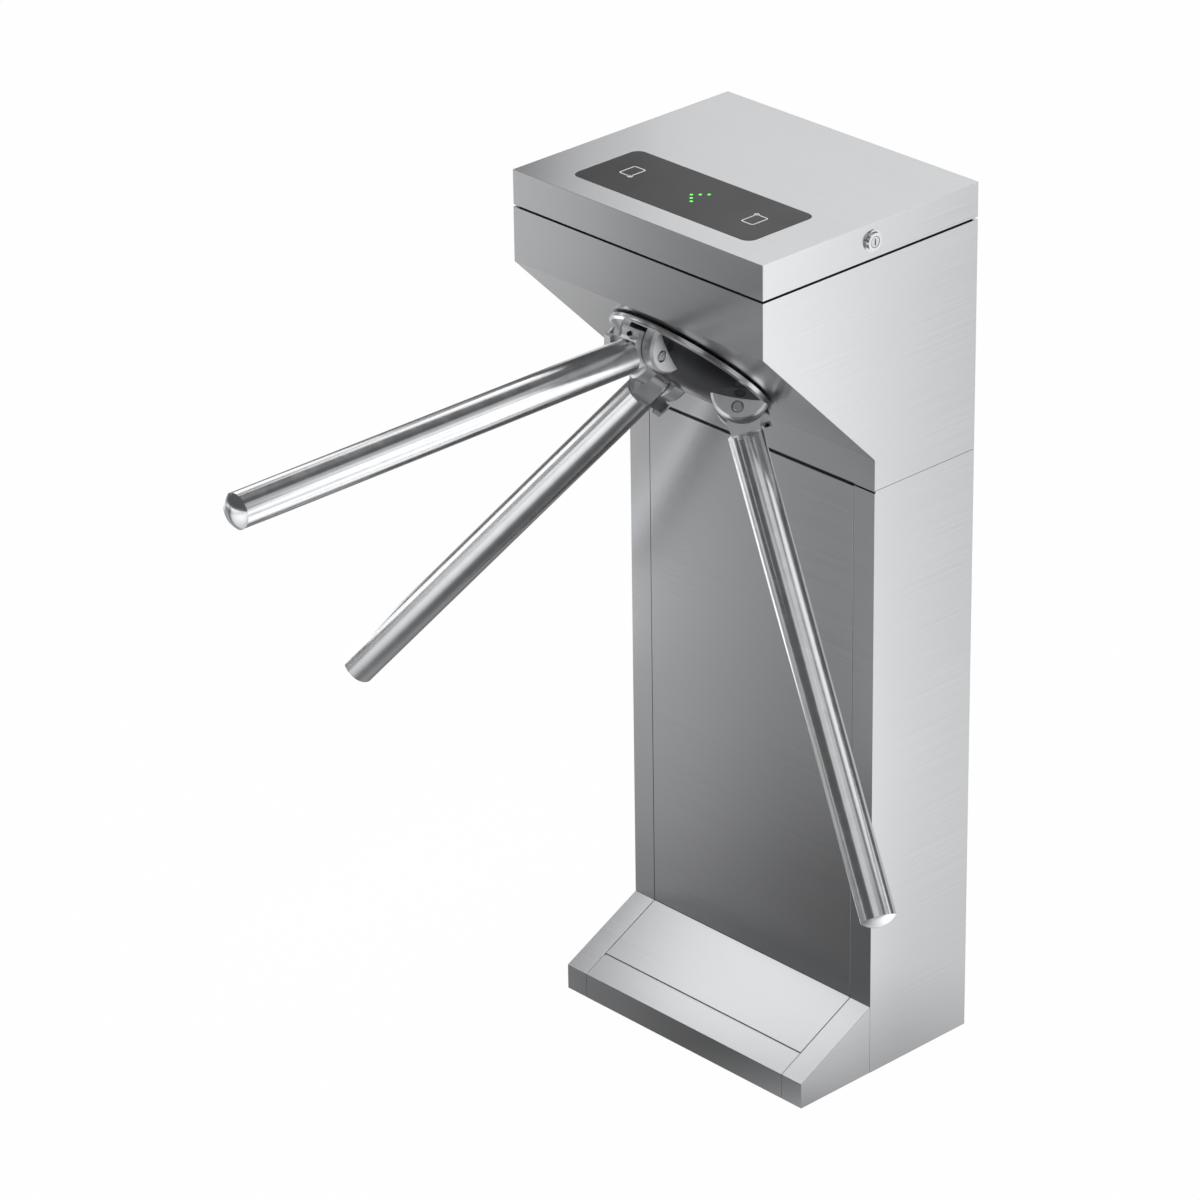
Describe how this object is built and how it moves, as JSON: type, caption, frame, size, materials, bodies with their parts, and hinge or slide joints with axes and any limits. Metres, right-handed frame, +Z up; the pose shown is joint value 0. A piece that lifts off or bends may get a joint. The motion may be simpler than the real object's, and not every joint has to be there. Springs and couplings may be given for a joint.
{
  "type": "tripod turnstile",
  "caption": "Slim tripod turnstile with a sloping head, drop arms on a round hub, indexing mechanism inside, hinged lockable lid and lit direction arrow.",
  "frame": {"origin": "on the floor, centre of the rectangular anchor-hole pattern in the base plate", "axes": "+Z up along the cabinet's height; -Y towards the passage that the horizontal arm bars; +X towards the side with the lid lock"},
  "size_m": [0.8262, 0.859, 1.0002],
  "materials": {
    "sheet_steel": "satin",
    "tube_steel": "polished",
    "cast_steel": "satin",
    "dark_steel": "polished",
    "machined_steel": "machined",
    "black_steel": "matt",
    "zinc_steel": "zinc plated",
    "aluminium": "milled",
    "brass": "milled",
    "black_plastic": "matt",
    "window_plastic": "gloss",
    "lamp_plastic": "lit green",
    "circuit_board": "solder mask",
    "seal_rubber": "matt",
    "lock_chrome": "polished"
  },
  "bodies": {
    "cabinet": {"base_plate": "black_steel", "column_shell": "sheet_steel", "front_panel": "sheet_steel", "left_foot_cheek": "sheet_steel", "right_foot_cheek": "sheet_steel", "kick_plate": "sheet_steel", "foot_cover": "sheet_steel", "head_shell": "sheet_steel", "lid_seal": "seal_rubber", "hinge_brackets": "zinc_steel", "lock_strike": "zinc_steel", "left_mount_rail": "black_steel", "right_mount_rail": "black_steel", "chassis_plate": "aluminium", "bearing_housing": "aluminium", "shaft_bearings": "machined_steel", "left_solenoid": "black_plastic", "right_solenoid": "black_plastic", "damper_body": "black_plastic", "position_sensor": "black_plastic", "control_board": "circuit_board", "power_supply": "zinc_steel", "cable_grommet": "seal_rubber", "chassis_bolts": "machined_steel", "centring_spring": "machined_steel"},
    "rotor": {"hub_dome": "dark_steel", "hub_core": "machined_steel", "clevis_a": "cast_steel", "clevis_b": "cast_steel", "clevis_c": "cast_steel", "arm_pivot_pins": "machined_steel", "main_shaft": "machined_steel", "hub_screws": "machined_steel", "index_wheel": "machined_steel", "main_gear": "brass", "sensor_disc": "black_plastic", "shaft_nut": "machined_steel"},
    "arm_a": {"arm_root_a": "cast_steel", "arm_tube_a": "tube_steel", "arm_cap_a": "tube_steel"},
    "arm_b": {"arm_root_b": "cast_steel", "arm_tube_b": "tube_steel", "arm_cap_b": "tube_steel"},
    "arm_c": {"arm_root_c": "cast_steel", "arm_tube_c": "tube_steel", "arm_cap_c": "tube_steel"},
    "lid": {"lid": "sheet_steel", "hinge_leaves": "zinc_steel", "display_window": "window_plastic", "led_board": "circuit_board", "led_indicators": "lamp_plastic", "lock_body": "lock_chrome"},
    "lock": {"lock_cam": "lock_chrome"},
    "left_pawl": {"left_pawl": "machined_steel"},
    "right_pawl": {"right_pawl": "machined_steel"},
    "left_plunger": {"left_plunger": "machined_steel"},
    "right_plunger": {"right_plunger": "machined_steel"},
    "centring_gear": {"centring_gear": "brass"},
    "damper_pinion": {"damper_pinion": "brass"}
  },
  "joints": [
    {"name": "rotor_turn", "type": "hinge", "parent": "cabinet", "child": "rotor", "pos_m": [0, -0.10545, 0.81745], "axis": [0, 0.7071, 0.7071], "continuous": true},
    {"name": "arm_a_drop", "type": "hinge", "parent": "rotor", "child": "arm_a", "pos_m": [0, -0.17404, 0.84998], "axis": [1, 0, 0], "range_deg": [0, 90]},
    {"name": "arm_b_drop", "type": "hinge", "parent": "rotor", "child": "arm_b", "pos_m": [-0.06192, -0.0982, 0.77414], "axis": [-0.5, -0.6124, 0.6124], "range_deg": [0, 45]},
    {"name": "arm_c_drop", "type": "hinge", "parent": "rotor", "child": "arm_c", "pos_m": [0.06192, -0.0982, 0.77414], "axis": [-0.5, 0.6124, -0.6124], "range_deg": [0, 45]},
    {"name": "lid_open", "type": "hinge", "parent": "cabinet", "child": "lid", "pos_m": [-0.1775, -0.0285, 0.9675], "axis": [0, -1, 0], "range_deg": [0, 80]},
    {"name": "lock_turn", "type": "hinge", "parent": "lid", "child": "lock", "pos_m": [0.183, -0.0285, 0.9805], "axis": [-1, 0, 0], "range_deg": [0, 90]},
    {"name": "right_pawl_turn", "type": "hinge", "parent": "cabinet", "child": "right_pawl", "pos_m": [0.076, -0.04561, 0.84953], "axis": [0, -0.7071, -0.7071], "range_deg": [0, 12], "stiffness_Nm_per_rad": 0.6, "springref_deg": -17.19},
    {"name": "left_pawl_turn", "type": "hinge", "parent": "cabinet", "child": "left_pawl", "pos_m": [-0.076, -0.04561, 0.84953], "axis": [0, 0.7071, 0.7071], "range_deg": [0, 12], "stiffness_Nm_per_rad": 0.6, "springref_deg": -17.19},
    {"name": "right_plunger_slide", "type": "slide", "parent": "cabinet", "child": "right_plunger", "axis": [0, -0.7071, 0.7071], "range_m": [0, 0.0074]},
    {"name": "left_plunger_slide", "type": "slide", "parent": "cabinet", "child": "left_plunger", "axis": [0, -0.7071, 0.7071], "range_m": [0, 0.0074]},
    {"name": "centring_turn", "type": "hinge", "parent": "cabinet", "child": "centring_gear", "pos_m": [0, 0.00203, 0.82311], "axis": [0, 0.7071, 0.7071], "continuous": true, "deforming": ["centring_spring"]},
    {"name": "damper_turn", "type": "hinge", "parent": "cabinet", "child": "damper_pinion", "pos_m": [-0.05091, -0.01288, 0.83802], "axis": [0, 0.7071, 0.7071], "continuous": true}
  ],
  "couplings": [
    {"joint": "centring_turn", "follows": "rotor_turn", "ratio": -3},
    {"joint": "damper_turn", "follows": "rotor_turn", "ratio": -3},
    {"joint": "right_plunger_slide", "follows": "right_pawl_turn", "m_per_rad": 0.033932},
    {"joint": "left_plunger_slide", "follows": "left_pawl_turn", "m_per_rad": 0.033932}
  ]
}
